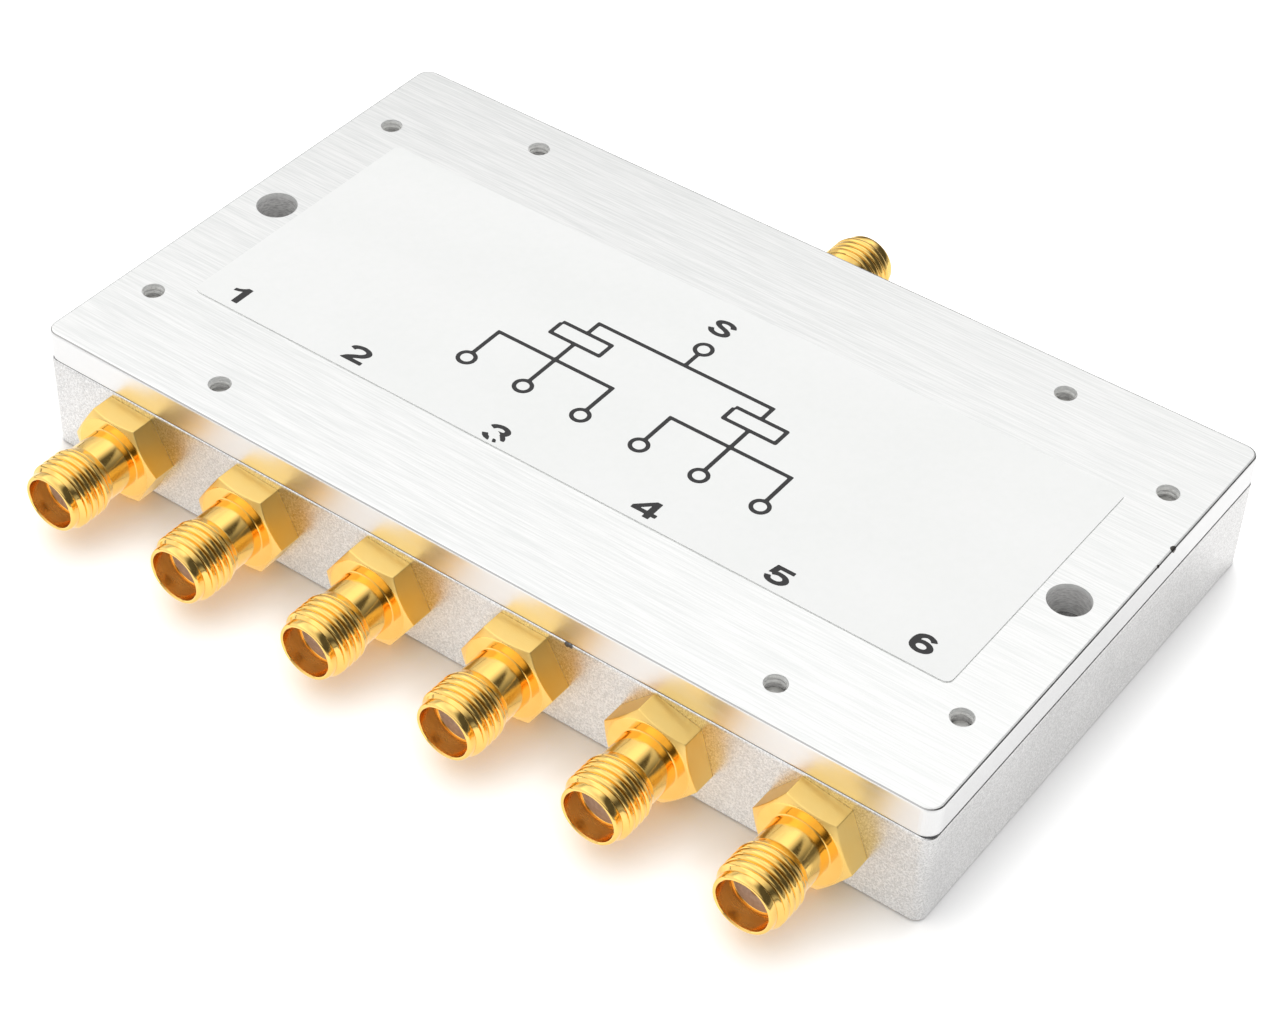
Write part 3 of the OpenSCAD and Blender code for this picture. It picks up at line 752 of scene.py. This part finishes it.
def build_print():
    for mark, x, y in MARKS:
        printed("mark_" + mark, GLYPHS[mark], (x, y), MARK_FIELD, MARK_CELL)
    printed("divider_diagram", diagram(), (0, 0), DIAGRAM_FIELD, DIAGRAM_CELL)


# Stage, light and camera

# Half the floor's side, and how far it lies below the part, in metres
FLOOR_HALF, FLOOR_GAP = 4.0, 0.00002
# Glow of the floor to the camera, and the shares of it that metal sees at large and before the ports, where a
# painted brighter patch shows in metal
FLOOR_GLOW, FLOOR_IN_METAL, FLOOR_BY_PORTS = 0.72, 0.51, 0.74
# How far from the object the glow is held back, painting a contact shadow, in metres, and how strongly
SHADOW_REACH, SHADOW_POWER = 0.0065, 1.4
# Colours of the floor: in the open, with a painted warm reflection of the gold ports, and far off as metal
# sees it
PAPER, PAINTED_GOLD_BOUNCE, FAR_PAPER = (0.88, 0.877, 0.873), (0.93, 0.80, 0.62), (0.1, 0.1, 0.1)
# Distances in metres between which the lit table ends
TABLE_END = (0.09, 0.17)
# Ways to the soft light and to the fill that metal sees
SOFTBOX_WAY = (-0.11, 0.61, 0.78)
FILL_WAY = (-0.9, -0.43, 0.0)
# Light of the room on all but metal, and the room that metal sees: its dim side, the fill's side, along
# the horizon and high up
WORLD_LEVEL = 0.595
SKY_DIM, SKY_FILL, SKY_HORIZON, SKY_HIGH = 0.08, 1.1, 0.55, 0.91
# The soft light that metal sees: degrees from its middle to its rim and to its full strength, and that
SOFTBOX_RIM, SOFTBOX_CORE, SOFTBOX_LEVEL = 24, 8, 0.5
# Key light: its place and its side in metres, and its power in watts
KEY_AT, KEY_SIDE, KEY_POWER = (-1.15, 1.67, 1.85), 3.0, 55
# Camera: its place and aim in metres, its roll in degrees, and its lens and sensor in millimetres
CAMERA_AT = (0.10508, -0.15296, 0.16723)
CAMERA_AIM = (0.00478, -0.00688, 0.006)
CAMERA_ROLL = 2.714
CAMERA_LENS, CAMERA_SENSOR = 81.44, 36


def by_ports(tree):
    """One on the floor in front of the row of ports, and nothing at the case and past the row's ends."""
    at = axes(tree, world_place(tree))
    front = spread(tree, at["Y"], -0.0225, -0.0275)
    along = spread(tree, calc(tree, "ABSOLUTE", at["X"]), 0.036, 0.048, 1, 0)
    return calc(tree, "MULTIPLY", front, along)


def far_away(tree):
    """Nothing on the floor round the object, rising to one where the lit table ends."""
    return spread(tree, measure(tree, "LENGTH", world_place(tree)), *TABLE_END)


def plain_stage():
    """Large pale floor: it shows white to the camera and in metal, and keeps the object's shadow, deepened by
    a painted shadow that holds back its glow near the object.
    """
    mesh = bpy.data.meshes.new("floor")
    corners = [(-1, -1), (1, -1), (1, 1), (-1, 1)]
    mesh.from_pydata([(x * FLOOR_HALF, y * FLOOR_HALF, 0) for x, y in corners], [], [(0, 1, 2, 3)])
    material = bpy.data.materials.new("pale_floor")
    material.use_nodes = True
    tree = material.node_tree
    tree.nodes.clear()
    path = add(tree, "ShaderNodeLightPath").outputs
    seen = calc(tree, "MAXIMUM", path["Is Camera Ray"], path["Is Transmission Ray"])
    # Painted shadow: the glow dims near the object as far as the ambient occlusion reaches
    open_sky = add(tree, "ShaderNodeAmbientOcclusion", {"Distance": SHADOW_REACH}, samples=8).outputs["AO"]
    seen = calc(tree, "MULTIPLY", seen, calc(tree, "POWER", open_sky, SHADOW_POWER))
    before = by_ports(tree)
    # Painted light: in metal the floor before the ports glows brighter than elsewhere
    in_metal = calc(tree, "MULTIPLY", path["Is Glossy Ray"],
                    spread(tree, before, 0, 1, FLOOR_IN_METAL, FLOOR_BY_PORTS))
    seen = calc(tree, "MAXIMUM", seen, in_metal)
    # Painted reflection: the shaded floor in front of the ports is tinted warm, as light from the gold
    painted_bounce = calc(tree, "MULTIPLY", before, spread(tree, open_sky, 0.25, 0.95, 1, 0))
    painted_bounce = calc(tree, "MULTIPLY", painted_bounce, path["Is Camera Ray"])
    far = calc(tree, "MULTIPLY", far_away(tree), path["Is Glossy Ray"])
    seen = calc(tree, "MULTIPLY", seen, spread(tree, far, 0, 1, 1, 0))
    colour = mix(tree, far, mix(tree, painted_bounce, PAPER, PAINTED_GOLD_BOUNCE), FAR_PAPER)
    diffuse = add(tree, "ShaderNodeBsdfDiffuse", {"Color": colour})
    strength = calc(tree, "MULTIPLY", seen, FLOOR_GLOW)
    glow = add(tree, "ShaderNodeEmission", {"Color": (1, 1, 1, 1), "Strength": strength})
    both = add(tree, "ShaderNodeAddShader", {0: diffuse.outputs[0], 1: glow.outputs[0]})
    add(tree, "ShaderNodeOutputMaterial", {"Surface": both.outputs[0]})
    mesh.materials.append(material)
    floor = bpy.data.objects.new("floor", mesh)
    floor.location.z = -FLOOR_GAP
    bpy.context.scene.collection.objects.link(floor)


def studio_world():
    """White to the camera and even for diffuse light. Metal sees a dim room with one large soft light."""
    world = bpy.data.worlds.new("studio")
    world.use_nodes = True
    tree = world.node_tree
    tree.nodes.clear()
    path = add(tree, "ShaderNodeLightPath").outputs
    direction = add(tree, "ShaderNodeTexCoord").outputs["Generated"]
    height = axes(tree, direction)["Z"]
    towards = measure(tree, "DOT_PRODUCT", direction, SOFTBOX_WAY)
    to_fill = measure(tree, "DOT_PRODUCT", direction, FILL_WAY)
    low_sky = calc(tree, "MAXIMUM", spread(tree, to_fill, 0.1, 0.9, SKY_DIM, SKY_FILL),
                   spread(tree, height, 0.04, 0.22, SKY_HORIZON, 0))
    high_sky = spread(tree, height, 0.3, 0.58, 0, SKY_HIGH)
    # The high sky fades away from the fill and brightens towards it
    for share in (spread(tree, to_fill, -0.55, -0.2, 0.1, 1), spread(tree, to_fill, -0.02, 0.6, 1, 1.6)):
        high_sky = calc(tree, "MULTIPLY", high_sky, share)
    rim, core = math.cos(math.radians(SOFTBOX_RIM)), math.cos(math.radians(SOFTBOX_CORE))
    lamp = spread(tree, towards, rim, core, 0, SOFTBOX_LEVEL)
    sky = calc(tree, "ADD", calc(tree, "MAXIMUM", low_sky, high_sky), lamp)
    white = calc(tree, "MAXIMUM", path["Is Camera Ray"], path["Is Transmission Ray"])
    level = add(tree, "ShaderNodeMix", {0: path["Is Glossy Ray"], 2: WORLD_LEVEL, 3: sky})
    level = add(tree, "ShaderNodeMix", {0: white, 2: level.outputs[0], 3: 1.0})
    background = add(tree, "ShaderNodeBackground", {"Color": (1, 1, 1, 1), "Strength": level.outputs[0]})
    add(tree, "ShaderNodeOutputWorld", {"Surface": background.outputs[0]})
    bpy.context.scene.world = world


def look(place_at, aim):
    """Rotation of a light or camera at a place that points at its aim."""
    return (Vector(aim) - Vector(place_at)).to_track_quat("-Z", "Y")


def key_light():
    light = bpy.data.lights.new("key", "AREA")
    light.shape = "RECTANGLE"
    light.size = light.size_y = KEY_SIDE
    light.energy = KEY_POWER
    obj = bpy.data.objects.new("key", light)
    obj.location = KEY_AT
    obj.rotation_euler = look(KEY_AT, (0, 0, 0)).to_euler()
    obj.visible_glossy = False
    bpy.context.scene.collection.objects.link(obj)


def photo_camera():
    data = bpy.data.cameras.new("camera")
    data.lens = CAMERA_LENS
    data.sensor_width = CAMERA_SENSOR
    data.sensor_fit = "HORIZONTAL"
    data.clip_start = 0.01
    camera = bpy.data.objects.new("camera", data)
    aimed = look(CAMERA_AT, CAMERA_AIM).to_matrix().to_4x4()
    roll = Matrix.Rotation(math.radians(CAMERA_ROLL), 4, "Z")
    camera.matrix_world = Matrix.Translation(CAMERA_AT) @ aimed @ roll
    bpy.context.scene.collection.objects.link(camera)
    bpy.context.scene.camera = camera


build_ports()
build_hole_threads()
build_print()
plain_stage()
studio_world()
key_light()
photo_camera()
bpy.context.scene.view_settings.view_transform = "Standard"
